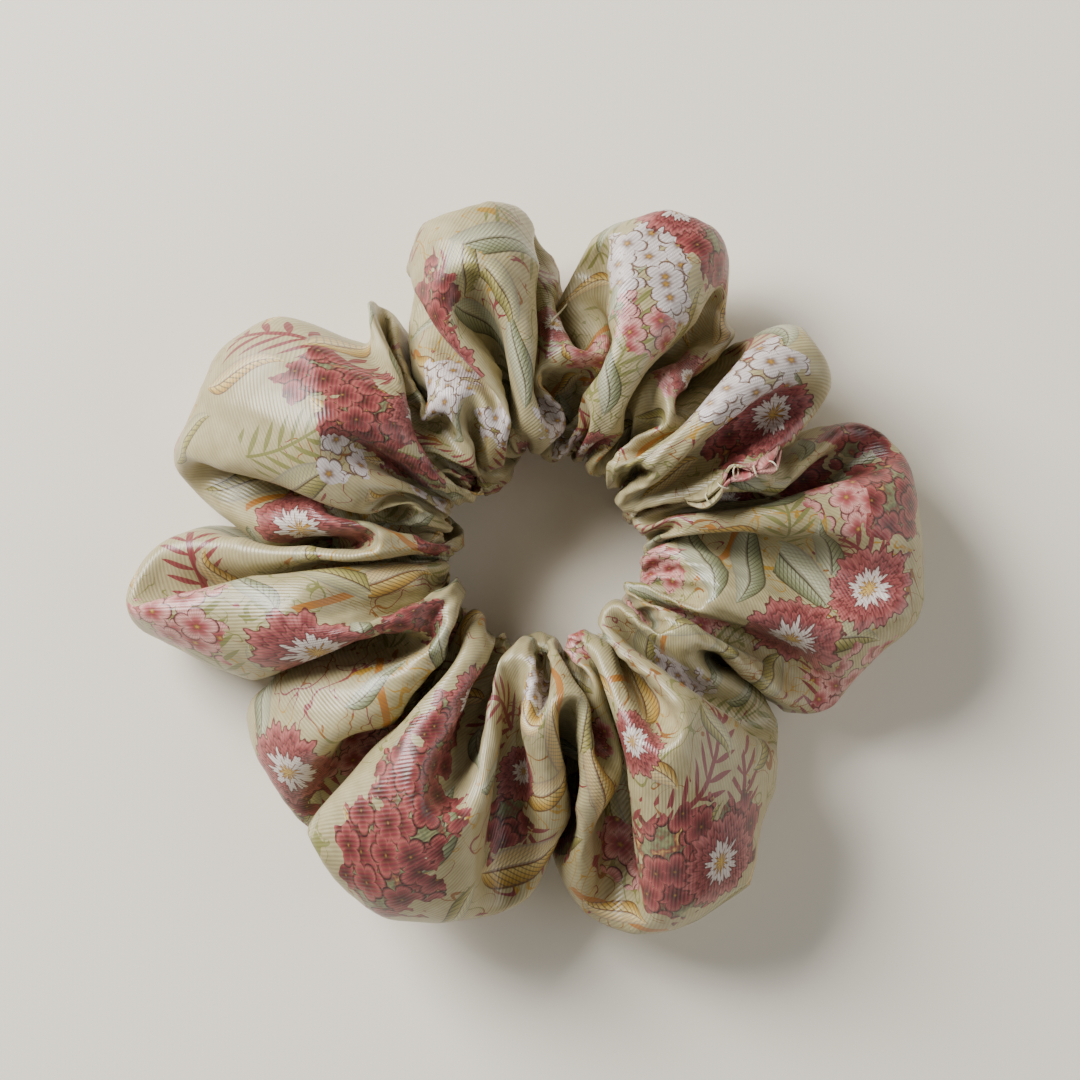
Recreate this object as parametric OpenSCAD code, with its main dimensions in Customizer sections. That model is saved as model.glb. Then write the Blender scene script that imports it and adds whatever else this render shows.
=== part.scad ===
// Scrunchie: a gathered fabric tube over a ring of flat elastic.
// The ring lies flat on the XY plane. The origin is the centre of the hair opening, on that plane.
// The cover is one cloth tube. It is cut here into puffs between the gathers, so that the ring can stretch.

/* [Ring] */
// Radius of the elastic ring at rest, to the middle of the band
elastic_r = 19.5; // [17:0.5:22]
// Clear radius inside the gathered cover
opening_r = 13.5; // [11:0.5:16]
// Usual reach of the puffs from the centre of the opening
outer_r = 55; // [50:0.5:62]
// Usual height of the puffs above the table
puff_h = 29; // [25:0.5:36]

/* [Cover] */
// Thickness of the cover, with its small gathers
cover_wall = 1; // [0.6:0.1:1.6]
// Gap between neighbouring puffs
puff_gap = 0.6; // [0.4:0.1:1.2]
// Radius of the rounded gathers round the elastic
neck_round = 5.5; // [4.5:0.5:6.5]
// Radius of the puffs' outer corners
corner_r = 5; // [3.5:0.5:6.5]
// Radius of the crown on top of each puff
crown_r = 6.5; // [5:0.5:8]

/* [Elastic] */
// Width of the elastic band
elastic_w = 4.5; // [3.5:0.5:6]
// Thickness of the elastic band
elastic_t = 0.9; // [0.6:0.1:1.4]
// Height of the band's middle above the table
elastic_z = 12; // [10:0.5:16]
// Clearance round the band in the cover
elastic_clear = 0.5; // [0.3:0.1:1]
// Length of the lap where the band's two ends are sewn together
lap_len = 9; // [6:0.5:11]

/* [Seams] */
// Width of the long seam's allowance inside the tube
allowance_w = 6; // [4:0.5:8]
// Thickness of the two cloth edges in the allowance
allowance_t = 0.6; // [0.4:0.1:1]
// Length of one machine stitch
stitch_len = 2.5; // [1.8:0.1:3.5]
// Diameter of the sewing thread
thread_d = 0.3; // [0.2:0.05:0.4]
// Thickness of the turned-in end that closes the tube
fold_t = 1.2; // [0.8:0.1:2]
// How far the turned-in end stands out as a lip
lip_w = 2; // [1.2:0.1:3]
// Length of the loose thread tail along its curve
tail_len = 6; // [4:0.5:9]

/* [Hidden] */
// Each puff: the angle where it starts, how far its two outer corners reach past outer_r,
// and how far its crown rises past puff_h. It ends where the next one starts.
PUFFS = [
    [22, -2, -3, 1],
    [51, -2, -3, 2],
    [87, -3, -4, 3],
    [131, 0, 3, 2],
    [174, 4, 6, -4],
    [204, 2, 5, 1],
    [250, 1, -1, -2],
    [272, 3, -2, 2],
    [327, 0, 3, 0]
];
puff_count = len(PUFFS);
neck_r = opening_r + neck_round;
crown_at = (neck_r + outer_r) / 2 - 1;
lap_puff = 5;
tail_puff = 1;
tail_from = 25;
stitch_gap = 0.05;
foot_share = 0.7;
facets = 20;
half_space = 200;

// The angles where puff k starts and ends.
function start_of(k) = PUFFS[k][0];
function end_of(k) = k + 1 < puff_count ? PUFFS[k + 1][0] : PUFFS[0][0] + 360;

// The closing seam's fold stands between the last puff and the first, so those two keep further apart.
function start_gap(k) = k == 0 ? fold_t / 2 + puff_gap : puff_gap / 2;
function end_gap(k) = k == puff_count - 1 ? fold_t / 2 + puff_gap : puff_gap / 2;

// The angle at which a ball of radius b, at distance r, just touches the side plane that is gap away.
function lean(r, b, gap) = asin(min(1, (b + gap) / r));

// The largest ball, up to b, that fits between a puff's two sides at distance r.
function ball_in(k, r, b) =
    min(b, r * sin((end_of(k) - start_of(k)) / 2) - max(start_gap(k), end_gap(k)));

function polar(r, a, z) = [r * cos(a), r * sin(a), z];

// The balls that a puff is drawn round: two necks, two outer corners, two crowns and two feet.
function puff_balls(k) =
    let (
        neck_b = ball_in(k, neck_r, neck_round),
        corner_b = ball_in(k, outer_r - corner_r, corner_r),
        start_r = outer_r + PUFFS[k][1] - corner_b,
        end_r = outer_r + PUFFS[k][2] - corner_b,
        crown_b = ball_in(k, crown_at, crown_r),
        crown_z = puff_h + PUFFS[k][3] - crown_b,
        foot_z = crown_b * foot_share,
        low_z = corner_b * 0.8,
        high_z = elastic_z + 4
    )
    [
        [polar(neck_r, start_of(k) + lean(neck_r, neck_b, start_gap(k)), elastic_z), neck_b],
        [polar(neck_r, end_of(k) - lean(neck_r, neck_b, end_gap(k)), elastic_z), neck_b],
        [polar(start_r, start_of(k) + lean(start_r, corner_b, start_gap(k)), high_z), corner_b],
        [polar(end_r, end_of(k) - lean(end_r, corner_b, end_gap(k)), low_z), corner_b],
        [polar(crown_at, start_of(k) + lean(crown_at, crown_b, start_gap(k)), crown_z), crown_b],
        [polar(crown_at, end_of(k) - lean(crown_at, crown_b, end_gap(k)), crown_z), crown_b],
        [polar(crown_at, start_of(k) + lean(crown_at, crown_b, start_gap(k)), foot_z), crown_b],
        [polar(crown_at, end_of(k) - lean(crown_at, crown_b, end_gap(k)), foot_z), crown_b]
    ];

// The inside or outside of a puff: inset 0 is the outside. The cloth lies flat on the table.
module puff_form(k, inset) {
    intersection() {
        hull() {
            for (ball = puff_balls(k)) {
                translate(ball[0]) sphere(r = max(ball[1] - inset, 0.5), $fn = facets);
            }
        }
        translate([-half_space, -half_space, inset]) cube([2 * half_space, 2 * half_space, half_space]);
    }
}

// An arc of rectangular section between two angles, w high and t thick.
module arc_band(r, z, w, t, from, to) {
    rotate([0, 0, from])
        rotate_extrude(angle = to - from, $fn = 96)
            translate([r - t / 2, z - w / 2]) square([t, w]);
}

// The angle that a gap takes up along a circle.
function gap_angle(gap, r) = asin(gap / r);

// The long seam's allowance lies flat on the floor of the tube, between the feet.
seam_r = crown_at - 0.5;
seam_end = cover_wall + 3;

function seam_from(k) = start_of(k) + lean(seam_r, seam_end, start_gap(k));
function seam_to(k) = end_of(k) - lean(seam_r, seam_end, end_gap(k));

module seam_allowance(k) {
    intersection() {
        puff_form(k, cover_wall / 2);
        arc_band(
            seam_r, cover_wall + allowance_t / 2, allowance_t + 2 * stitch_gap, allowance_w,
            seam_from(k), seam_to(k)
        );
    }
}

module cover_puff(k) {
    color("cornsilk") {
        difference() {
            puff_form(k, 0);
            puff_form(k, cover_wall);
            arc_band(
                elastic_r, elastic_z, elastic_w + 2 * elastic_clear, elastic_t * 2 + 2 * elastic_clear,
                start_of(k) - 1, end_of(k) + 1
            );
        }
        seam_allowance(k);
    }
}

module elastic_band(k) {
    color("white")
        arc_band(
            elastic_r, elastic_z, elastic_w, elastic_t,
            start_of(k) + gap_angle(start_gap(k), elastic_r),
            end_of(k) - gap_angle(end_gap(k), elastic_r)
        );
}

lap_half = lap_len / elastic_r * 90 / PI;
lap_mid = (start_of(lap_puff) + end_of(lap_puff)) / 2;

module elastic_lapped_end() {
    color("white")
        arc_band(
            elastic_r - elastic_t, elastic_z, elastic_w, elastic_t,
            lap_mid - lap_half, lap_mid + lap_half
        );
}

// One straight stitch of thread, lying along Y and centred.
module stitch(length) {
    rotate([90, 0, 0]) cylinder(d = thread_d, h = length, center = true, $fn = 16);
}

zigzag_rows = 6;
zigzag_lean = 16;

module elastic_lap_stitches() {
    color("ivory")
        for (i = [0 : zigzag_rows - 1]) {
            rotate([0, 0, lap_mid - lap_half * 0.8 + lap_half * 1.6 * i / (zigzag_rows - 1)])
                translate([elastic_r - 1.5 * elastic_t - thread_d / 2 - stitch_gap, 0, elastic_z])
                    rotate([90 + (i % 2 == 0 ? zigzag_lean : -zigzag_lean), 0, 0])
                        stitch(elastic_w * 0.6);
        }
}

module long_seam_stitches(k) {
    span = seam_to(k) - seam_from(k);
    count = max(1, floor(span * PI / 180 * seam_r / stitch_len));
    color("ivory")
        for (i = [0 : count - 1]) {
            rotate([0, 0, seam_from(k) + span * (i + 0.5) / count])
                translate([seam_r, 0, cover_wall + allowance_t + thread_d / 2 + 2 * stitch_gap])
                    stitch(stitch_len * 0.8);
        }
}

// The outline of the tube where it is closed, in the plane of the closing seam: X is outwards, Y is up.
module closing_outline() {
    hull() {
        translate([neck_r, elastic_z]) circle(r = neck_round - 1, $fn = 32);
        translate([outer_r - 14, elastic_z - 2]) circle(r = neck_round, $fn = 32);
        translate([crown_at, puff_h - crown_r]) circle(r = crown_r - 1.5, $fn = 32);
    }
}

module at_closing_seam() {
    rotate([0, 0, start_of(0)]) rotate([90, 0, 0]) children();
}

module closing_fold() {
    color("cornsilk")
        at_closing_seam()
            translate([0, 0, -fold_t / 2])
                linear_extrude(height = fold_t)
                    difference() {
                        closing_outline();
                        offset(delta = -lip_w) closing_outline();
                    }
}

closing_count = 7;
closing_lean = -40;

module closing_stitches() {
    inner = [neck_r, elastic_z];
    outer = [crown_at, puff_h - crown_r];
    slope = atan2(outer[1] - inner[1], outer[0] - inner[0]);
    color("ivory")
        at_closing_seam()
            for (i = [0 : closing_count - 1]) {
                share = (i + 0.5) / closing_count;
                centre = inner + (outer - inner) * share;
                reach = (neck_round - 1) * (1 - share) + (crown_r - 1.5) * share - lip_w / 2;
                translate([centre[0], centre[1], fold_t / 2 + thread_d / 2])
                    rotate([0, 0, slope]) translate([0, reach, 0])
                        rotate([0, 0, closing_lean]) stitch(stitch_len * 0.6);
            }
}

// The loose end of the seam thread follows the crown that it hangs over.
module thread_tail() {
    crown = puff_balls(tail_puff)[5];
    bend_r = crown[1] + thread_d / 2 + stitch_gap;
    color("ivory")
        translate(crown[0])
            rotate([0, 0, end_of(tail_puff) - lean(crown_at, crown[1], end_gap(tail_puff))])
                rotate([90, 0, 90]) rotate([0, 0, tail_from])
                    rotate_extrude(angle = tail_len / bend_r * 180 / PI, $fn = 96)
                        translate([bend_r, 0]) circle(d = thread_d, $fn = 16);
}

cover_puff(0);  // cover_puff_1
cover_puff(1);  // cover_puff_2
cover_puff(2);  // cover_puff_3
cover_puff(3);  // cover_puff_4
cover_puff(4);  // cover_puff_5
cover_puff(5);  // cover_puff_6
cover_puff(6);  // cover_puff_7
cover_puff(7);  // cover_puff_8
cover_puff(8);  // cover_puff_9
elastic_band(0);  // elastic_band_1
elastic_band(1);  // elastic_band_2
elastic_band(2);  // elastic_band_3
elastic_band(3);  // elastic_band_4
elastic_band(4);  // elastic_band_5
elastic_band(5);  // elastic_band_6
elastic_band(6);  // elastic_band_7
elastic_band(7);  // elastic_band_8
elastic_band(8);  // elastic_band_9
elastic_lapped_end();
elastic_lap_stitches();
long_seam_stitches(0);  // long_seam_stitches_1
long_seam_stitches(1);  // long_seam_stitches_2
long_seam_stitches(2);  // long_seam_stitches_3
long_seam_stitches(3);  // long_seam_stitches_4
long_seam_stitches(4);  // long_seam_stitches_5
long_seam_stitches(5);  // long_seam_stitches_6
long_seam_stitches(6);  // long_seam_stitches_7
long_seam_stitches(7);  // long_seam_stitches_8
long_seam_stitches(8);  // long_seam_stitches_9
closing_fold();
closing_stitches();
thread_tail();
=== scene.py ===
import bpy
import math
import numpy as np
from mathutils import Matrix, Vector
from mathutils.bvhtree import BVHTree


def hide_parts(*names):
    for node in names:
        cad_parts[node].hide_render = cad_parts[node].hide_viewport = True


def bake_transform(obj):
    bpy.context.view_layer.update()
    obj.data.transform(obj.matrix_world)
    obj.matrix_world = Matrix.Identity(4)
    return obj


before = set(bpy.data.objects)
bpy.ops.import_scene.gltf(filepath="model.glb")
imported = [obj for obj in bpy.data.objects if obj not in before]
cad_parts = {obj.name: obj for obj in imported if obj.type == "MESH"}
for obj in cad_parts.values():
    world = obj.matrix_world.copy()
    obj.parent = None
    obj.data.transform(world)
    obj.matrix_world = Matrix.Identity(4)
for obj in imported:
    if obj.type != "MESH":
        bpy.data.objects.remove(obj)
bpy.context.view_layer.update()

# Camera: it looks straight down on the ring from an arm's length, with a longish lens.
# The view is 160 mm wide at the height of the puffs.
mm = 0.001
camera_height, puff_height, view_width = 785 * mm, 15 * mm, 160 * mm
view_centre = (-0.7 * mm, 1.5 * mm)
bpy.ops.object.select_all(action="DESELECT")
bpy.ops.object.camera_add(location=(*view_centre, camera_height), rotation=(0, 0, 0))
camera = bpy.context.object
camera.data.lens = camera.data.sensor_width * (camera_height - puff_height) / view_width
bpy.context.scene.camera = camera

# Elastic: a flat braided band, 4.5 mm wide, of polyester yarn over rubber cords. Its two ends are lapped
# and sewn with a zigzag. The CAD bands have the right shape, and get the braid here.


def linear(hex_colour):
    """An sRGB hex colour as the linear values that shaders take."""
    parts = [int(hex_colour[i:i + 2], 16) / 255 for i in (1, 3, 5)]
    return tuple(c / 12.92 if c <= 0.04045 else ((c + 0.055) / 1.055) ** 2.4 for c in parts) + (1.0,)


def new_material(name):
    """An empty material, and the tree that node() fills."""
    made = bpy.data.materials.new(name)
    made.use_nodes = True
    made.node_tree.nodes.clear()
    return made, made.node_tree


def node(kind, *inputs, output=0, stops=(), **settings):
    """Adds a node to the tree of the newest material and gives one of its outputs.

    A kind such as "Math.ADD" names the operation too. Inputs are given in order, or by name in a dict, each as
    a value or as the socket that feeds it. Stops are a colour ramp's places and hex colours.
    """
    kind, _, operation = kind.partition(".")
    made = tree.nodes.new("ShaderNode" + kind)
    for name, value in (settings | {"operation": operation} if operation else settings).items():
        setattr(made, name, value)
    for place, given in enumerate(inputs):
        for name, value in (given if isinstance(given, dict) else {place: given}).items():
            if isinstance(value, bpy.types.NodeSocket):
                tree.links.new(value, made.inputs[name])
            else:
                made.inputs[name].default_value = value
    for at, _ in stops[2:]:
        made.color_ramp.elements.new(at)
    for element, (at, colour) in zip(made.color_ramp.elements if stops else (), stops):
        element.position, element.color = at, linear(colour)
    return made.outputs[output] if made.outputs else made


# Braided polyester is matt and white. Its yarns cross in 0.8 mm ribs.
braid, tree = new_material("braided polyester elastic")
place = node("TexCoord", output="Object")
ribs = node("TexWave", {"Vector": place, "Scale": 200.0, "Distortion": 2.0}, output="Fac", bands_direction="Z")
# Painted shade: the braid's white is darker in the grooves between the ribs, where the bump is low.
colour_with_painted_groove_shade = node("ValToRGB", ribs, stops=((0, "#CFCBC0"), (1, "#EFEDE6")))
bump = node("Bump", {"Strength": 0.6, "Distance": 0.1 * mm, "Height": ribs})
skin = node("BsdfPrincipled", {"Base Color": colour_with_painted_groove_shade, "Roughness": 0.8, "Normal": bump})
node("OutputMaterial", {"Surface": skin})
for name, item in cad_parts.items():
    if name.startswith("elastic_band") or name == "elastic_lapped_end":
        item.data.materials.clear()
        item.data.materials.append(braid)

# Sewing thread: spun polyester, two plies twisted together, cream to match the cloth.
# It has a soft sheen, and the twist shows as slanted ribs.
thread, tree = new_material("spun polyester thread")
place = node("TexCoord", output="Object")
plies = node("TexWave", {"Vector": place, "Scale": 900.0, "Distortion": 1.0}, output="Fac",
             bands_direction="DIAGONAL")
# Painted shade: the thread's cream is darker in the grooves between the plies, where the bump is low.
colour_with_painted_groove_shade = node("ValToRGB", plies, stops=((0, "#B9AE86"), (1, "#E6DEBD")))
bump = node("Bump", {"Strength": 0.5, "Distance": 0.05 * mm, "Height": plies})
skin = node("BsdfPrincipled", {"Base Color": colour_with_painted_groove_shade, "Roughness": 0.55, "Normal": bump, "Sheen Weight": 0.3})
node("OutputMaterial", {"Surface": skin})
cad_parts["elastic_lap_stitches"].data.materials.clear()
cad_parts["elastic_lap_stitches"].data.materials.append(thread)

# Cover: one strip of printed cotton sateen, sewn into a tube 94 mm round and 510 mm long at the neck, and
# gathered on the elastic. The tube is made flat and full, then the elastic draws it in by cloth simulation,
# ten times its size because the solver suits larger things.
COLUMNS, ROWS = 256, 40
tube_length, tube_girth = 510, 94
neck_radius, elastic_radius, elastic_height = 15, 19.5, 12
grown = 0.01
ring_radius = tube_length / 2 / math.pi
tube_radius = tube_girth / 2 / math.pi
tube_height = tube_radius + 3
valley_reach, usual_reach, usual_height = 40, 48, 11
# Where the tube's outer edge ends up, corner by corner: angle, reach and height. A short reach is a valley.
EDGE = [
    (22, 34, 10), (43.8, 50, 13), (51, 28, 9), (61, 56, 14), (78.7, 50, 14), (87.3, 28, 9), (95, 53, 16),
    (122, 50, 14), (131, 25, 9), (136, 52, 16), (149, 58, 14), (166, 57.5, 13), (178, 30, 6), (190, 61, 5),
    (203, 32, 6), (207, 54, 7), (232, 56, 12), (247, 60, 9), (262, 50, 12), (271, 28, 8), (293, 60, 7),
    (318, 50, 12), (327, 30, 8), (331, 50, 8), (345, 53, 10), (369, 57, 12),
]
bpy.ops.object.select_all(action="DESELECT")
bpy.ops.mesh.primitive_torus_add(
    major_segments=COLUMNS, minor_segments=ROWS, generate_uvs=True,
    major_radius=(ring_radius + tube_radius) * grown, minor_radius=tube_radius * grown,
    location=(0, 0, tube_height * grown), rotation=(0, 0, math.radians(EDGE[0][0])))
bpy.ops.object.transform_apply(location=True, rotation=True, scale=True)
tube = bpy.context.object
sewn = np.empty(COLUMNS * ROWS * 3)
tube.data.vertices.foreach_get("co", sewn)
sewn = sewn.reshape(COLUMNS, ROWS, 3) / grown

# Each column of the tube is given its place on the gathered edge by the length of the edge up to it.
edge = np.array(EDGE + [(EDGE[0][0] + 360, *EDGE[0][1:])], float)
turn = np.radians(edge[:, 0])
points = np.stack([edge[:, 1] * np.cos(turn), edge[:, 1] * np.sin(turn), edge[:, 2]], 1)
along = np.concatenate([[0], np.cumsum(np.linalg.norm(np.diff(points, axis=0), axis=1))])
along *= COLUMNS / along[-1]
column = np.arange(COLUMNS)
edge_turn = np.radians(np.interp(column, along, edge[:, 0]))
edge_reach = np.interp(column, along, edge[:, 1])[:, None]
edge_height = np.interp(column, along, edge[:, 2])[:, None]
even_turn = turn[0] + column * 2 * math.pi / COLUMNS
# The neck turns with the edge, evened out over about half a puff.
span = COLUMNS // 14
lead = edge_turn - even_turn
lead = np.convolve(np.concatenate([lead[-span:], lead, lead[:span]]), np.ones(span) / span, "same")[span:-span]
neck_turn = even_turn + lead
reach = np.hypot(sewn[..., 0], sewn[..., 1])
bearing = np.arctan2(sewn[..., 1], sewn[..., 0])
out = (reach - reach.min()) / (reach.max() - reach.min())
# Before it is gathered, the tube is already a little fuller where a puff comes, and slightly uneven.
flat = sewn.copy()
full = reach + (edge_reach - usual_reach) * 0.35 * out
flat[..., 0], flat[..., 1] = full * np.cos(bearing), full * np.sin(bearing)
flat[..., 2] = tube_height + (sewn[..., 2] - tube_height) * (1 + (edge_reach - usual_reach) * 0.01)
flat[..., 2] += (edge_height - usual_height) * 0.8 * out
flat += np.random.default_rng(5).normal(0, 0.04, flat.shape)
# Gathered, its inner side is at the elastic and its outer edge at the corners above.
gathered = flat.copy()
drawn = neck_radius + (edge_reach - neck_radius) * out
round_to = neck_turn[:, None] * (1 - out) + edge_turn[:, None] * out
gathered[..., 0], gathered[..., 1] = drawn * np.cos(round_to), drawn * np.sin(round_to)
gathered[..., 2] = elastic_height * (1 - out) + edge_height * out + sewn[..., 2] - tube_height
tube.data.vertices.foreach_set("co", (flat * grown).ravel())
tube.data.update()

# The simulation pulls only the inner line of the cloth hard, the corners weakly and the valleys a little more.
# Pressure fills the tube, the elastic keeps its place inside it, and the table is underneath.
DRAWN_IN, SETTLED = 45, 65
corner_hold, valley_hold = 0.2, 0.6


def run_evenly(action):
    """Makes keyed motion even, without easing."""
    for curve in action.fcurves:
        for key in curve.keyframe_points:
            key.interpolation = "LINEAR"


tube.shape_key_add(name="sewn")
pull = tube.shape_key_add(name="gathered")
pull.data.foreach_set("co", (gathered * grown).ravel().astype(np.float32))
pull.value = 0
pull.keyframe_insert("value", frame=1)
pull.value = 1
pull.keyframe_insert("value", frame=DRAWN_IN)
run_evenly(tube.data.shape_keys.animation_data.action)
held = tube.vertex_groups.new(name="held")
held.add([i * ROWS + ROWS // 2 for i in range(COLUMNS)], 1.0, "REPLACE")
for (_, end, _), at in zip(EDGE, along):
    near = [(round(at) + i) % COLUMNS * ROWS + j % ROWS for i in (-1, 0, 1) for j in (-1, 0, 1)]
    held.add(near, valley_hold if end < valley_reach else corner_hold, "REPLACE")
bpy.ops.object.modifier_add(type="CLOTH")
cloth = tube.modifiers[-1].settings
cloth.quality = 5
cloth.mass = 0.3
cloth.tension_stiffness = cloth.compression_stiffness = 15
cloth.shear_stiffness = 5
cloth.bending_stiffness = 35
cloth.tension_damping = cloth.compression_damping = cloth.shear_damping = 5
cloth.bending_damping = 0.5
cloth.air_damping = 1
cloth.vertex_group_mass = "held"
cloth.pin_stiffness = 3
cloth.use_pressure = True
cloth.uniform_pressure_force = 1.5
cloth.effector_weights.gravity = 0.3
contact = tube.modifiers[-1].collision_settings
contact.use_self_collision = True
contact.self_distance_min = contact.distance_min = 0.5 * grown
contact.self_friction = 5
contact.collision_quality = 2
tube.modifiers[-1].point_cache.frame_end = SETTLED
table_size, elastic_room = 400, 2.7
bpy.ops.mesh.primitive_plane_add(size=table_size * grown)
table = bpy.context.object
bpy.ops.object.modifier_add(type="COLLISION")
table.collision.thickness_outer = 0.3 * grown
table.collision.cloth_friction = 5
bpy.ops.mesh.primitive_torus_add(
    major_segments=96, minor_segments=12, major_radius=elastic_radius * grown, minor_radius=elastic_room * grown)
band = bpy.context.object
bpy.ops.object.modifier_add(type="COLLISION")
band.collision.thickness_outer = 0.2 * grown
band.collision.cloth_friction = 1
band.scale = [(ring_radius + tube_radius) / elastic_radius] * 3
band.location = (0, 0, tube_height * grown)
band.keyframe_insert("scale", frame=1)
band.keyframe_insert("location", frame=1)
band.scale = (1, 1, 1)
band.location = (0, 0, elastic_height * grown)
band.keyframe_insert("scale", frame=DRAWN_IN)
band.keyframe_insert("location", frame=DRAWN_IN)
run_evenly(band.animation_data.action)
for step in range(1, SETTLED + 1):
    bpy.context.scene.frame_set(step)
bpy.ops.object.select_all(action="DESELECT")
tube.select_set(True)
bpy.context.view_layer.objects.active = tube
bpy.ops.object.convert(target="MESH")
bpy.data.objects.remove(table)
bpy.data.objects.remove(band)
bpy.context.scene.frame_set(1)

# The gathered cover is brought back to its size, and its edge is teased out or in, as listed: angle, and how far.
# The tease starts 22 mm from the centre, is full at 52 mm, and leaves the cloth just above the table.
TEASE = [
    (9, 1), (24, 1), (31, 6), (44, 3), (51, -9), (61, 1), (79, 0), (88, -7), (95, 0), (123, 2), (131, -14), (138, 0),
    (149, 4), (166, 2), (174, 3), (191, 5), (204, 3), (232, -2), (247, 5), (270, 3), (293, 5), (310, 0), (327, -2),
    (343, -3),
]
lie = np.empty(COLUMNS * ROWS * 3)
tube.data.vertices.foreach_get("co", lie)
lie = lie.reshape(-1, 3) / grown
reach = np.hypot(lie[:, 0], lie[:, 1])
bearing = np.degrees(np.arctan2(lie[:, 1], lie[:, 0])) % 360
tease = np.array(TEASE, float)
push = np.interp(bearing, tease[:, 0], tease[:, 1], period=360)
tease_from, tease_over, above_table = 22, 30, 0.05
share = np.clip((reach - tease_from) / tease_over, 0, 1) ** 1.5
lie[:, :2] *= (1 + push * share / reach)[:, None]
lie[:, 2] = np.maximum(lie[:, 2], above_table)
# Two seams pinch the cloth: the long one underneath, by 0.7 mm, and the closing one across the tube, by a
# twentieth of the tube's width.
SEAM_ROW = ROWS * 3 // 4
grid = lie.reshape(COLUMNS, ROWS, 3)
grid[:, SEAM_ROW, 2] += 0.7
grid[0] = (grid[-1] + grid[1]) / 2 + (grid[0].mean(axis=0) - grid[0]) * 0.05
tube.data.vertices.foreach_set("co", (lie * mm).ravel())
tube.data.update()

# A finer mesh makes the folds round. Then the cover is cut across the middle of each puff into stretches of cloth, each
# from one puff over the neck between them to the next.
bpy.ops.object.modifier_add(type="SUBSURF")
tube.modifiers[-1].levels = tube.modifiers[-1].render_levels = 2
bpy.ops.object.modifier_apply(modifier=tube.modifiers[-1].name)
bpy.ops.object.shade_smooth()
CUTS = (36.5, 69, 109, 152.5, 189, 227, 261, 299.5, 354.5)
rows = grid.mean(axis=1)
first_bearing = EDGE[0][0] - 5
bearing = (np.degrees(np.arctan2(rows[:, 1], rows[:, 0])) - first_bearing) % 360 + first_bearing
cut_columns = [int(np.argmin(np.abs(bearing - cut))) for cut in CUTS]
# The cloth's length is counted along the middle of its width, which is longer than the neck.
cloth_length = tube_length + tube_girth / 2
faces, corners = len(tube.data.polygons), len(tube.data.loops)
place = np.empty(corners * 2)
tube.data.uv_layers.active.data.foreach_get("uv", place)
place = place.reshape(faces, 4, 2)
# The torus counts its columns from halfway round.
place[..., 0] += np.where(place[..., 0].mean(axis=1) < 0.5, 0.5, -0.5)[:, None]
face_column = np.floor(place[..., 0].mean(axis=1) * COLUMNS)
sector = np.searchsorted(cut_columns, face_column, side="right")
sector = (sector - 1) % len(CUTS) + 1
tube.data.attributes.new("sector", "INT", "FACE").data.foreach_set("value", sector.astype(np.int32))

# The cloth's own coordinates are in millimetres: along the strip, and round the tube from the long seam,
# which lies underneath.
seam_round = 0.275
place[..., 1] += (place[..., 1].mean(axis=1) < seam_round)[:, None]
place *= (cloth_length, tube_girth)
tube.data.uv_layers.active.name = "cloth"
tube.data.uv_layers["cloth"].data.foreach_set("uv", place.ravel())
middle = place.mean(axis=1)
vertices = len(tube.data.vertices)
shape, normals = np.empty(vertices * 3), np.empty(vertices * 3)
tube.data.vertices.foreach_get("co", shape)
tube.data.vertices.foreach_get("normal", normals)
shape, normals = shape.reshape(-1, 3), normals.reshape(-1, 3)
quads = np.empty(corners, np.int32)
tube.data.polygons.foreach_get("vertices", quads)
quads = quads.reshape(faces, 4)

# Fine creases: the elastic pleats the cloth finely at the neck, and the puffs are lightly crumpled.
neck_creases, puff_creases = 0.22, 0.4
turns = np.empty((vertices, 2))
turns[quads] = place / (cloth_length, tube_girth) * 2 * math.pi
dice = np.random.default_rng(7)


def creases(low, high, tilt):
    """Ridged waves, low to high of them along the strip, leaning by up to tilt turns round the tube."""
    total = np.zeros(vertices)
    for _ in range(12):
        total += np.sin(dice.integers(low, high) * turns[:, 0] + dice.integers(-tilt, tilt + 1) * turns[:, 1]
                        + dice.uniform(0, 2 * math.pi))
    return 0.8 - np.abs(total) / math.sqrt(6)


from_neck = np.clip((np.hypot(shape[:, 0], shape[:, 1]) / mm - neck_radius) / 25, 0, 1)
raised = creases(60, 130, 2) * neck_creases * (1 - 0.8 * from_neck) + creases(12, 40, 5) * puff_creases * from_neck
shape += normals * raised[:, None] * mm
shape[:, 2] = np.maximum(shape[:, 2], above_table * mm)
tube.data.vertices.foreach_set("co", shape.ravel())
tube.data.update()
surface = BVHTree.FromPolygons(shape.tolist(), quads.tolist())


def seen_from_above(x, y):
    """The place and the face of the cloth that lies topmost at x, y on the ring, or None twice."""
    at, _, face, _ = surface.ray_cast(Vector((x * mm, y * mm, 100 * mm)), Vector((0, 0, -1)))
    return at, face


def cloth_under(x, y):
    """The cloth's own coordinates at x, y on the ring, or None beside the cloth."""
    face = seen_from_above(x, y)[1]
    return None if face is None else middle[face]


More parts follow.
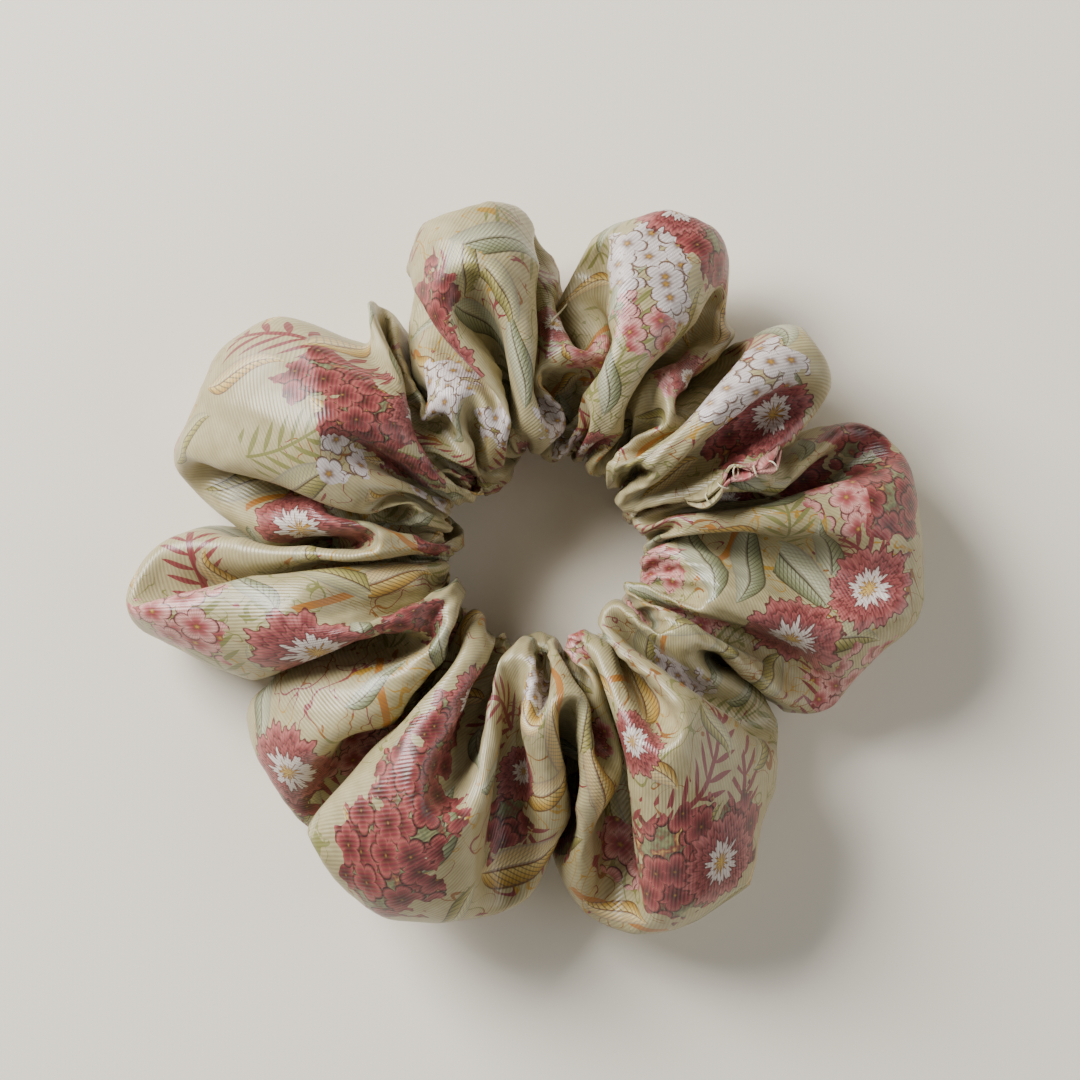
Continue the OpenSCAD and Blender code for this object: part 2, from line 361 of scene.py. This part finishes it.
def lay_motifs(name, spare, gap, motifs):
    """Writes each cloth face's place in its nearest motif: along, across, and kind with the size over 100.

    Motifs are given as they lie on the gathered ring: x, y, reach, the way it points, and kind. Then more, of up
    to the spare reach, are spread over the cloth with a gap, as a share of both reaches, to the others.
    """
    laid = []
    for x, y, size, turned, kind in motifs:
        at = cloth_under(x, y)
        if at is None:
            continue
        ahead = cloth_under(x + 2 * math.cos(math.radians(turned)), y + 2 * math.sin(math.radians(turned)))
        way = (1, 0) if ahead is None else ahead - at
        laid.append((at[0], at[1], size, math.atan2(way[1], way[0]), kind))
    tries = 4000
    dice = np.random.default_rng(len(name))
    for _ in range(tries):
        s, t = dice.uniform(0, cloth_length), tube_girth * (seam_round + dice.uniform(0, 1))
        size, turned, kind = dice.uniform(0.75, 1) * spare, dice.uniform(0, 2 * math.pi), dice.integers(0, 3)
        if all(math.hypot(s - m[0], t - m[1]) > gap * (size + m[2]) for m in laid):
            laid.append((s, t, size, turned, kind))
    laid = np.array(laid)
    off = np.hypot(middle[:, None, 0] - laid[None, :, 0], middle[:, None, 1] - laid[None, :, 1]) / laid[None, :, 2]
    mine = laid[off.argmin(axis=1)]
    local = place - mine[:, None, :2]
    c, s = np.cos(mine[:, 3])[:, None], np.sin(mine[:, 3])[:, None]
    packed = np.empty((faces, 4, 3), np.float32)
    packed[..., 0] = local[..., 0] * c + local[..., 1] * s
    packed[..., 1] = local[..., 1] * c - local[..., 0] * s
    packed[..., 2] = (mine[:, 4] + mine[:, 2] / 100)[:, None]
    tube.data.attributes.new(name, "FLOAT_VECTOR", "CORNER").data.foreach_set("vector", packed.ravel())


# The print is a garden in the old engraved style, laid in millimetres on the ring as it is seen from above.
lay_motifs("sprigs", 8, 1.1, [
    (-33, 30, 9, 150, 1), (-52, -2, 6, 100, 1), (48, -2, 7, 120, 1), (23, -35, 10, 60, 1), (29, -38, 8, 80, 1),
    (-8, -22, 10, 80, 1), (-18, -42, 8, 30, 1), (29, -25, 9, 20, 0), (-36, 16, 8, 20, 0), (28, 1, 11, 92, 2),
    (-21, 2, 11, -45, 2), (-27, -6, 9, 20, 2), (2, -20, 12, 100, 2), (-24, -21, 8, 100, 2), (17, -17, 10, 60, 2),
    (30, 30, 8, 60, 1), (-16, 33, 9, 100, 1), (12, 30, 9, 70, 0), (36, 4, 9, 100, 0), (-50, -14, 6, 120, 0),
    (4, -38, 9, 60, 2), (20, -42, 8, 40, 1),
])
lay_motifs("leaves", 6, 0.85, [
    (17, 1, 8, 80, 0), (23, -1, 9, 95, 0), (30, -2, 9, 75, 0), (38, -4, 9, -60, 0), (-7, 46, 9, -20, 0),
    (-9, 34, 8, -60, 0), (-42, -22, 7, 90, 0), (-15, -15, 8, 0, 0), (-36, 9, 9, 10, 1), (2, -28, 9, 95, 2),
    (1, -36, 8, 30, 2), (8, -6, 9, 60, 2), (-1, -46, 9, 35, 2), (15, -15, 10, 60, 1), (14, -21, 8, 100, 2),
    (-29, 19, 6, 140, 2), (22, -11, 9, 170, 1), (-22, -4, 8, 10, 2), (27, -14, 8, 40, 1), (43, -13, 8, -20, 1),
    (-12, 41, 8, 70, 1), (-4, 28, 7, 90, 0), (-15, -40, 7, 60, 0), (26, 34, 6, 60, 2), (9, 26, 6, 80, 0),
    (-22, -31, 5, 60, 0), (46, 12, 5, 20, 0), (8, -33, 8, 110, 2), (-3, -24, 8, 80, 2), (4, -43, 7, 0, 1),
    (33, -20, 8, 200, 1), (42, 0, 7, 100, 0), (-44, 10, 7, 170, 1), (-30, -4, 7, 150, 1), (-40, -44, 5, 60, 0),
    (20, 50, 5, 0, 2), (-28, 24, 5, 150, 2), (11, 38, 5, 40, 0), (6, -26, 8, 70, 1), (-27, 4, 8, -60, 1),
    (34, 9, 6, 130, 1), (-7, 39, 8, -75, 1), (-46, 2, 8, 15, 0),
])
lay_motifs("posies", 7, 1.9, [
    (51, 10, 7, 0, 0), (44, 8, 5, 0, 1), (38, 11, 5, 0, 0), (46, 18, 5, 0, 0), (-25, -28, 8, 0, 1),
    (-19, -36, 7, 0, 0),
    (-14, -27, 6, 0, 0), (-24, -47, 7, 0, 0), (20, -47, 7, 0, 0), (28, -42, 5, 0, 0), (-26, 19, 6, 0, 0),
    (-32, 26, 5, 0, 0), (-20, 12, 5, 0, 0), (-23, 41, 6, 0, 0), (-17, 36, 5, 0, 0), (15, 34, 5, 0, 1),
    (24, 47, 6, 0, 0), (29, 18, 6, 0, 0), (-55, -10, 6, 0, 1), (-15, 24, 6, 0, 2), (14, 43, 6, 0, 2),
    (18, 37, 4, 0, 2), (7, 29, 5, 0, 1), (31, 26, 6, 0, 2), (24, 22, 5, 0, 2), (-7, 18, 4, 0, 2), (-17, 8, 4, 0, 2),
    (-38, -37, 4, 0, 0), (12, -44, 4, 0, 1), (-30, 14, 4, 0, 2), (-6, -40, 4, 0, 0),
])
lay_motifs("carnations", 6, 3.2, [
    (-36, 3, 8, 0, 0), (-33, -15, 7.5, 0, 1), (-38, -33, 6.5, 0, 0), (36, -13, 8, 0, 0), (48, -6, 6, 0, 1),
    (13, -28, 4.5, 0, 1), (-3, -33, 4, 0, 1), (26, -46, 5, 0, 0),
])

# The whole cover's normals are kept, so that the cuts between its pieces don't show.
normals = np.empty(vertices * 3, np.float32)
tube.data.vertices.foreach_get("normal", normals)
tube.data.attributes.new("lay", "FLOAT_VECTOR", "POINT").data.foreach_set("vector", normals)

# Printed cotton sateen: smooth and softly glossy, with the fine slanted lines of its weave. The ground is
# cream, and the print is in dusty red, pink, white, ochre and sage with brown outlines.
sateen, tree = new_material("printed cotton sateen")


def from_centre(vector):
    """A vector's three values, then its length and its angle on the cloth."""
    x, y, third = node("SeparateXYZ", vector).node.outputs
    squares = node("Math.ADD", node("Math.MULTIPLY", x, x), node("Math.MULTIPLY", y, y))
    return x, y, third, node("Math.SQRT", squares), node("Math.ARCTAN2", y, x)


def motif(name):
    """Where the cloth lies in its nearest motif: x along it, y across, its kind and size, reach and angle."""
    x, y, code, reach, angle = from_centre(node("Attribute", attribute_name=name, output="Vector"))
    size = node("Math.MULTIPLY", node("Math.FRACT", code), 100.0)
    return x, y, node("Math.FLOOR", code), size, reach, angle


def laid_over(ground, *layers):
    """Lays colours on a ground, each as far as its mask lets it show."""
    for colour, mask in layers:
        ground = node("Mix", {0: mask, 6: ground, 7: colour}, output=2, data_type="RGBA")
    return ground


cloth_at = node("UVMap", uv_map="cloth")
wobble = node("TexNoise", {"Vector": cloth_at, "Scale": 0.5, "Detail": 3.0})
ground = node("ValToRGB", wobble, stops=((0.3, "#A1946A"), (0.7, "#B4A87F")))

# Tendrils: fine flowing stems, olive, brown and red, in drifts between the flowers.
drift = node("TexNoise", {"Vector": cloth_at, "Scale": 0.045, "Detail": 1.0})
flows = []
for scale, distortion in ((0.11, 1.2), (0.17, 2.0)):
    flow = node("TexNoise", {"Vector": cloth_at, "Scale": scale, "Detail": 0.5, "Distortion": distortion})
    flows.append(node("Math.ABSOLUTE", node("Math.SUBTRACT", flow, 0.5)))
line = node("Math.LESS_THAN", node("Math.MINIMUM", *flows), 0.011)
tendril = node("Math.MULTIPLY", line, node("Math.GREATER_THAN", drift, 0.47))
tinge = node("TexNoise", {"Vector": cloth_at, "Scale": 0.06, "Detail": 0.0})
tinge = node("ValToRGB", tinge, stops=((0.0, "#7B7A45"), (0.46, "#8A5A2A"), (0.54, "#7E3238"), (0.6, "#A8812F")))
tinge.node.color_ramp.interpolation = "CONSTANT"
paint = laid_over(ground, (tinge, tendril))

# Sprigs: a stem with pairs of small leaflets, olive, or dark red and fern-like, or a bare brown stem.
leaflet_pitch = 2.2
x, y, kind, size, _, _ = motif("sprigs")
side = node("Math.ABSOLUTE", node("Math.SUBTRACT", y, node("Math.MULTIPLY", node("Math.MULTIPLY", x, x), 0.03)))
inside = node("Math.LESS_THAN", node("Math.ABSOLUTE", x), size)
slanted = node("Math.ADD", x, node("Math.MULTIPLY", side, -0.9))
step = node("Math.FRACT", node("Math.DIVIDE", slanted, leaflet_pitch))
step = node("Math.SUBTRACT", node("Math.MULTIPLY", step, leaflet_pitch), leaflet_pitch / 2)
width = node("Math.MULTIPLY", node("Math.SUBTRACT", 3.6, side), node("Math.MULTIPLY", side, 0.14))
leaflet = node("Math.LESS_THAN", node("Math.ABSOLUTE", step), width)
leaflet = node("Math.MULTIPLY", leaflet, node("Math.LESS_THAN", kind, 1.5))
stem = node("Math.LESS_THAN", side, node("Math.ADD", node("Math.MULTIPLY", kind, 0.18), 0.2))
mask = node("Math.MULTIPLY", inside, node("Math.MAXIMUM", leaflet, stem))
ink = node("ValToRGB", node("Math.DIVIDE", kind, 2.0), stops=((0.0, "#7B7A45"), (0.3, "#7E3238"), (0.8, "#A66B2B")))
ink.node.color_ramp.interpolation = "CONSTANT"
paint = laid_over(paint, (ink, mask))

# Leaves: pointed, with a dark rib and slanted veins, sage, olive or ochre.
x, y, kind, size, _, _ = motif("leaves")
along = node("Math.DIVIDE", x, size)
curved = node("Math.MULTIPLY", node("Math.SINE", node("Math.MULTIPLY", along, 2.4)), 1.1)
bend = node("Math.SUBTRACT", y, curved)
taper = node("Math.SUBTRACT", 1.0, node("Math.MULTIPLY", along, along))
fuller = node("Math.ADD", 1.0, node("Math.MULTIPLY", along, -0.35))
half = node("Math.MULTIPLY", node("Math.MULTIPLY", taper, fuller), node("Math.MULTIPLY", size, 0.3))
edge_at = node("Math.DIVIDE", node("Math.ABSOLUTE", bend), node("Math.MAXIMUM", half, 0.01))
blade = node("MapRange", {"Value": edge_at, "From Min": 0.97, "From Max": 1.03, "To Min": 1.0, "To Max": 0.0})
mask = node("Math.MULTIPLY", blade, node("Math.LESS_THAN", node("Math.ABSOLUTE", along), 0.99))
sage, olive, ochre = [
    node("ValToRGB", edge_at, stops=tuple(zip((0.0, 0.07, 0.12, 0.6, 0.86, 0.92), colours.split())))
    for colours in ("#4B4A33 #4B4A33 #A3A786 #7F8663 #6B7050 #43402C",
                    "#5C4A26 #5C4A26 #B3A868 #8C8444 #77703C #4A3E24",
                    "#7A4B22 #7A4B22 #D9BE77 #BC9440 #A07A35 #6A4522")]
veins = node("Math.SUBTRACT", x, node("Math.MULTIPLY", node("Math.ABSOLUTE", bend), 1.3))
veins = node("Math.GREATER_THAN", node("Math.SINE", node("Math.MULTIPLY", veins, 7.5)), 0.66)
leaf = laid_over(
    sage, (olive, node("Math.GREATER_THAN", kind, 0.5)), (ochre, node("Math.GREATER_THAN", kind, 1.5)),
    (linear("#4A4430"), node("Math.MULTIPLY", veins, 0.7)),
    (linear("#EDE6C8"), node("Math.MULTIPLY", node("Math.GREATER_THAN", bend, 0.0), 0.25)))
paint = laid_over(paint, (leaf, mask))

# Posies: heads of small five-petalled flowers packed together, red, pink or white. A second set of flowers
# lies over the first, shifted by 6.7 mm, and leaves show between them in the red ones.
petals, petal_lines = 5, 45
x, y, kind, size, reach_at, _ = motif("posies")
ragged = node("TexNoise", {"Vector": cloth_at, "Scale": 0.35, "Detail": 2.0})
ragged = node("Math.ADD", reach_at, node("Math.MULTIPLY", node("Math.SUBTRACT", ragged, 0.5), 9.0))
between = ((0.3, "#6E2B31"), (0.42, "#8A8C62"), (0.5, "#6B7050"), (0.58, "#7A3A36"), (0.7, "#C9A55C"))
flower = laid_over(node("ValToRGB", wobble, stops=between), (ground, node("Math.GREATER_THAN", kind, 0.5)))
filled = node("Math.LESS_THAN", kind, 0.5)
for shift in (6.7, 0):
    aside = node("VectorMath.ADD", cloth_at, (shift, shift * 0.6, 0))
    cells = node("TexVoronoi", {"Vector": aside, "Scale": 0.225, "Randomness": 0.8}, voronoi_dimensions="2D").node
    to_centre = node("VectorMath.SUBTRACT", aside, cells.outputs["Position"])
    _, _, _, far, spin = from_centre(to_centre)
    phase = node("Math.MULTIPLY", node("SeparateColor", cells.outputs["Color"]), 6.3)
    petal = node("Math.COSINE", node("Math.ADD", node("Math.MULTIPLY", spin, petals / 2), phase))
    petal = node("Math.POWER", node("Math.ABSOLUTE", petal), 0.4)
    head = node("Math.DIVIDE", far, node("Math.ADD", node("Math.MULTIPLY", petal, 1.35), 1.15))
    red, pink, white = [node("ValToRGB", head, stops=stops) for stops in (
        ((0.0, "#A87A34"), (0.1, "#45191D"), (0.3, "#642429"), (0.6, "#8A383E"), (0.8, "#A85854"), (0.9, "#742D32"),
         (0.94, "#38181B")),
        ((0.0, "#D0A550"), (0.12, "#8A5A2A"), (0.18, "#8E3A40"), (0.4, "#AE5A5C"), (0.75, "#D69E94"),
         (0.88, "#C98883"), (0.94, "#5A3034")),
        ((0.0, "#C8963A"), (0.14, "#8A6A34"), (0.2, "#8F7A72"), (0.4, "#CBBFBA"), (0.84, "#DAD0CE"),
         (0.9, "#A8968D"), (0.93, "#5E463A")))]
    lines = node("Math.GREATER_THAN", node("Math.SINE", node("Math.MULTIPLY", spin, petal_lines)), 0.4)
    bloom = laid_over(
        red, (pink, node("Math.GREATER_THAN", kind, 0.5)), (white, node("Math.GREATER_THAN", kind, 1.5)),
        (linear("#4C2226"), node("Math.MULTIPLY", lines, 0.3)))
    covered = node("Math.LESS_THAN", head, 1.0)
    flower = laid_over(flower, (bloom, covered))
    filled = node("Math.MAXIMUM", filled, covered)
mask = node("Math.MULTIPLY", node("Math.LESS_THAN", ragged, size), filled)
paint = laid_over(paint, (flower, mask))

# Carnations: rings of toothed petals, dark at the root and pale at the tip, round a white fringe.
x, y, kind, size, reach_at, spin = motif("carnations")
fine_teeth = node("Math.MULTIPLY", node("Math.SINE", node("Math.MULTIPLY", spin, 31.0)), 0.05)
broad_teeth = node("Math.MULTIPLY", node("Math.SINE", node("Math.MULTIPLY", spin, 11.0)), 0.07)
uneven = node("Math.MULTIPLY", node("Math.SUBTRACT", wobble, 0.5), 0.5)
teeth = node("Math.ADD", node("Math.ADD", fine_teeth, broad_teeth), uneven)
head = node("Math.ADD", node("Math.DIVIDE", reach_at, size), teeth)
carnation = node("ValToRGB", head, stops=(
    (0.0, "#D8B763"), (0.12, "#A8772E"), (0.17, "#6A4A2A"), (0.2, "#DDD3CC"), (0.4, "#D6C9C0"), (0.43, "#5A2A2C"),
    (0.46, "#6C272E"), (0.62, "#A35253"), (0.66, "#4E1E21"), (0.69, "#7C2F37"), (0.9, "#B56663"), (0.95, "#5A2428")))
lines = node("Math.GREATER_THAN", node("Math.SINE", node("Math.MULTIPLY", spin, 72.0)), 0.35)
carnation = laid_over(carnation, (linear("#54262A"), node("Math.MULTIPLY", lines, 0.3)))
mask = node("MapRange", {"Value": head, "From Min": 0.97, "From Max": 0.99, "To Min": 1.0, "To Max": 0.0})
paint = laid_over(paint, (carnation, mask))

# The weave: slanted lines, 0.45 mm apart so that they show, which is a little coarser than the real 0.37 mm.
# A wave of scale 0.314 repeats every millimetre.
twill = node("Mapping", {"Vector": cloth_at, "Rotation": (0, 0, math.radians(35))})
twill = node("TexWave", {"Vector": twill, "Scale": 0.314 / 0.45, "Distortion": 0.4, "Detail": 1.0, "Detail Scale": 3.0},
             output="Fac")
# Painted shade: the colour darkens towards the weave's grooves, where the bump is low.
painted_weave_shade = node("Math.MULTIPLY", node("Math.SUBTRACT", 1.0, twill), 0.3)
paint = laid_over(paint, (linear("#6B5B3C"), painted_weave_shade))
bump = node("Bump", {"Strength": 0.4, "Distance": 0.08 * mm, "Height": twill})
skin = node("BsdfPrincipled", {
    "Base Color": paint, "Roughness": 0.36, "Specular IOR Level": 0.6, "Sheen Weight": 0.05, "Sheen Roughness": 0.4,
    "Normal": bump})
node("OutputMaterial", {"Surface": skin})
tube.data.materials.clear()
tube.data.materials.append(sateen)


def follow_cloth(item, number):
    """Bakes a piece's placement into its mesh. The angles of the cuts at both ends of its stretch are worked out, but
    not used.
    """
    for turned in (CUTS[number - 1], (CUTS + (CUTS[0] + 360,))[number]):
        turned = math.radians(turned)
    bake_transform(item)


# The cover is parted into its nine stretches, and each covers the puff of its number.
bpy.context.tool_settings.mesh_select_mode = (False, False, True)
lengths = np.diff(cut_columns + [cut_columns[0] + COLUMNS])
for number in range(1, len(CUTS) + 1):
    if number < len(CUTS):
        sector = np.empty(len(tube.data.polygons), np.int32)
        tube.data.attributes["sector"].data.foreach_get("value", sector)
        bpy.ops.object.select_all(action="DESELECT")
        tube.select_set(True)
        bpy.context.view_layer.objects.active = tube
        tube.data.polygons.foreach_set("select", sector == number)
        bpy.ops.object.mode_set(mode="EDIT")
        bpy.ops.mesh.separate(type="SELECTED")
        bpy.ops.object.mode_set(mode="OBJECT")
        piece = [item for item in bpy.context.selected_objects if item != tube][0]
    else:
        piece = tube
    piece.name = piece.data.name = f"cover_cloth_{number}"
    normals = np.empty(len(piece.data.vertices) * 3, np.float32)
    piece.data.attributes["lay"].data.foreach_get("vector", normals)
    piece.data.normals_split_custom_set_from_vertices(normals.reshape(-1, 3).tolist())
    follow_cloth(piece, number)
    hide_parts(f"cover_puff_{number}")

# Long seam: a machine seam runs the whole length of the tube underneath. Its stitches are 2 mm apart, in
# polyester thread, one in each column of the cloth.
stitch_length, thread_radius, stitch_depth = 1.5, 0.16, 0.25
for number in range(1, len(CUTS) + 1):
    first = cut_columns[number - 1]
    bpy.ops.object.select_all(action="DESELECT")
    stitches = []
    for i in range(first, first + lengths[number - 1]):
        here, there = Vector(grid[i % COLUMNS, SEAM_ROW]), Vector(grid[(i + 1) % COLUMNS, SEAM_ROW])
        way = there - here
        bpy.ops.mesh.primitive_cylinder_add(
            vertices=6, radius=thread_radius * mm, depth=min(way.length * 0.7, stitch_length) * mm,
            location=((here + there) / 2 - Vector((0, 0, stitch_depth))) * mm,
            rotation=way.to_track_quat("Z", "Y").to_euler())
        stitches.append(bpy.context.object)
    for item in stitches:
        item.select_set(True)
    bpy.ops.object.join()
    bpy.ops.object.transform_apply(location=True, rotation=True, scale=True)
    seam = bpy.context.object
    seam.name = seam.data.name = f"long_seam_thread_{number}"
    seam.data.materials.append(thread)
    bpy.ops.object.shade_smooth_by_angle(angle=math.radians(50))
    follow_cloth(seam, number)
    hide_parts(f"long_seam_stitches_{number}")

# Closing lip: where the tube's two ends are sewn to each other by hand, their folded edges stand up in two
# thin ruffles, side by side, across the valley at the seam. A few overcast stitches hold them together.
lip_from, lip_to = Vector((20.5, 7.6, 0)), Vector((34.5, 15.4, 0))
lip_height, lip_thickness, lip_rounding = 3.2, 0.45, 0.15
lip_side = (lip_to - lip_from).normalized().cross(Vector((0, 0, 1)))


def cloth_height(x, y):
    """The height of the topmost cloth at x, y on the ring."""
    at = seen_from_above(x, y)[0]
    return 0 if at is None else at.z / mm


def lip_point(along, up, leaf):
    """A point on one of the lip's two leaves, from 0 to 1 along it, and up from the cloth in millimetres.

    Both leaves, -1 and 1, share a wave. They end low, lean to one side, and open towards their top.
    """
    base = lip_from.lerp(lip_to, along)
    wave = 0.9 * math.sin(along * 9 + 0.4) + 0.2 * math.sin(along * 23 + leaf)
    rim = 1 - (2 * along - 1) ** 4
    rise = up * (0.25 + 0.75 * rim)
    foot = base + lip_side * (0.3 * wave + 0.15 * leaf)
    top = foot + lip_side * (rise * (0.5 + 0.3 * wave) + leaf * 0.3 * rise * (0.6 + 0.4 * math.sin(along * 15)))
    return Vector((top.x, top.y, cloth_height(foot.x, foot.y) - 0.6 + 0.9 * rise))


leaves = []
for leaf in (-1, 1):
    bpy.ops.object.select_all(action="DESELECT")
    bpy.ops.mesh.primitive_grid_add(x_subdivisions=70, y_subdivisions=7, size=1)
    lip = bpy.context.object
    for vertex in lip.data.vertices:
        vertex.co = lip_point(vertex.co.x + 0.5, (vertex.co.y + 0.5) * lip_height, leaf) * mm
    bpy.ops.object.mode_set(mode="EDIT")
    bpy.ops.mesh.select_all(action="SELECT")
    bpy.ops.mesh.normals_make_consistent(inside=False)
    bpy.ops.object.mode_set(mode="OBJECT")
    bpy.ops.object.modifier_add(type="SMOOTH")
    lip.modifiers[-1].iterations = 4
    bpy.ops.object.modifier_apply(modifier=lip.modifiers[-1].name)
    bpy.ops.object.modifier_add(type="SOLIDIFY")
    lip.modifiers[-1].thickness = lip_thickness * mm
    lip.modifiers[-1].offset = 0
    bpy.ops.object.modifier_apply(modifier=lip.modifiers[-1].name)
    bpy.ops.object.modifier_add(type="BEVEL")
    lip.modifiers[-1].width = lip_rounding * mm
    lip.modifiers[-1].segments = 2
    bpy.ops.object.modifier_apply(modifier=lip.modifiers[-1].name)
    bpy.ops.object.shade_smooth()
    leaves.append(lip)
for item in leaves:
    item.select_set(True)
bpy.ops.object.join()
lip = bpy.context.object
lip.name = lip.data.name = "closing_lip"
lip.data.uv_layers.active.name = "cloth"
lip.data.materials.append(sateen)
# It has the cover's print: plain ground, far from any motif, and pink posies over its outer part.
posies_from = 26 * mm
corners_at = [lip.data.vertices[loop.vertex_index].co for loop in lip.data.loops]
for corner, at in zip(lip.data.uv_layers["cloth"].data, corners_at):
    corner.uv = (at.x / mm + 200, at.z / mm + at.y / mm)
for name in ("sprigs", "leaves", "posies", "carnations"):
    nearest = np.tile(np.float32((99, 99, 0.01)), (len(corners_at), 1))
    if name == "posies":
        nearest[[at.x > posies_from for at in corners_at]] = (0, 0, 1.09)
    lip.data.attributes.new(name, "FLOAT_VECTOR", "CORNER").data.foreach_set("vector", nearest.ravel())
follow_cloth(lip, len(CUTS))
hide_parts("closing_fold")

# Closing thread: five overcast stitches of the same thread, each a small ring round both leaves, tilted along
# the lip.
overcast_height, overcast_radius, overcast_thread = 2.7, 0.85, 0.12
bpy.ops.object.select_all(action="DESELECT")
rings = []
for along in (0.2, 0.36, 0.52, 0.68, 0.84):
    at, ahead = (lip_point(along + step, overcast_height, 0) for step in (0, 0.03))
    way = (ahead - at).normalized() + Vector((0, 0, 0.3))
    bpy.ops.mesh.primitive_torus_add(
        major_segments=20, minor_segments=8, major_radius=overcast_radius * mm, minor_radius=overcast_thread * mm,
        location=at * mm, rotation=way.to_track_quat("Z", "Y").to_euler())
    rings.append(bpy.context.object)
for item in rings:
    item.select_set(True)
bpy.ops.object.join()
bpy.ops.object.transform_apply(location=True, rotation=True, scale=True)
bpy.ops.object.shade_smooth()
overcast = bpy.context.object
overcast.name = overcast.data.name = "closing_thread"
overcast.data.materials.append(thread)
follow_cloth(overcast, len(CUTS))
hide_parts("closing_stitches")

# Thread tail: the end of the sewing thread, 6 mm long, comes out of the cloth between two puffs and curls
# over it. Its points are x and y on the ring, and the height over the cloth.
TAIL = ((3.4, 36.6, -0.4), (2.9, 36.0, 0.9), (2.2, 35.1, 1.6), (1.5, 34.3, 1.5), (0.9, 33.5, 1.1))
bpy.ops.object.select_all(action="DESELECT")
bpy.ops.curve.primitive_nurbs_path_add()
tail = bpy.context.object
spline = tail.data.splines[0]
for point, (x, y, up) in zip(spline.points, TAIL):
    point.co = (x * mm, y * mm, (cloth_height(x, y) + up) * mm, 1)
spline.order_u = 4
tail.data.bevel_depth = thread_radius * mm
tail.data.bevel_resolution = 2
tail.data.use_fill_caps = True
bpy.ops.object.convert(target="MESH")
bpy.ops.object.shade_smooth()
tail.name = tail.data.name = "loose_thread"
tail.data.materials.append(thread)
follow_cloth(tail, 2)
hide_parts("thread_tail")

# Floor and light: a pale plain table top, 3 m wide, a soft window-like light at the upper left, a weak one
# opposite and a faint one from below the view.
bpy.ops.object.select_all(action="DESELECT")
bpy.ops.mesh.primitive_plane_add(size=3, location=(0, 0, 0))
floor = bpy.context.object
floor.name = "floor"
top, tree = new_material("matt pale table top")
skin = node("BsdfPrincipled", {"Base Color": linear("#F9F1E0"), "Roughness": 0.7})
node("OutputMaterial", {"Surface": skin})
floor.data.materials.append(top)
LAMPS = (
    ("window", 0.5, 23, (-0.62, 0.5, 0.52)),
    ("far window", 0.8, 3.5, (0.8, -0.1, 0.42)),
    ("wall", 0.8, 1.2, (-0.2, -0.8, 0.4)),
)
for name, size, power, stand in LAMPS:
    bpy.ops.object.light_add(type="AREA", location=stand)
    lamp = bpy.context.object
    lamp.name = lamp.data.name = name
    lamp.data.size = size
    lamp.data.energy = power
    lamp.rotation_euler = (-lamp.location).to_track_quat("-Z", "Y").to_euler()
bpy.context.scene.world = bpy.data.worlds.new("room")
bpy.context.scene.world.use_nodes = True
air = bpy.context.scene.world.node_tree.nodes["Background"]
air.inputs["Color"].default_value = linear("#F3EFE8")
air.inputs["Strength"].default_value = 0.12
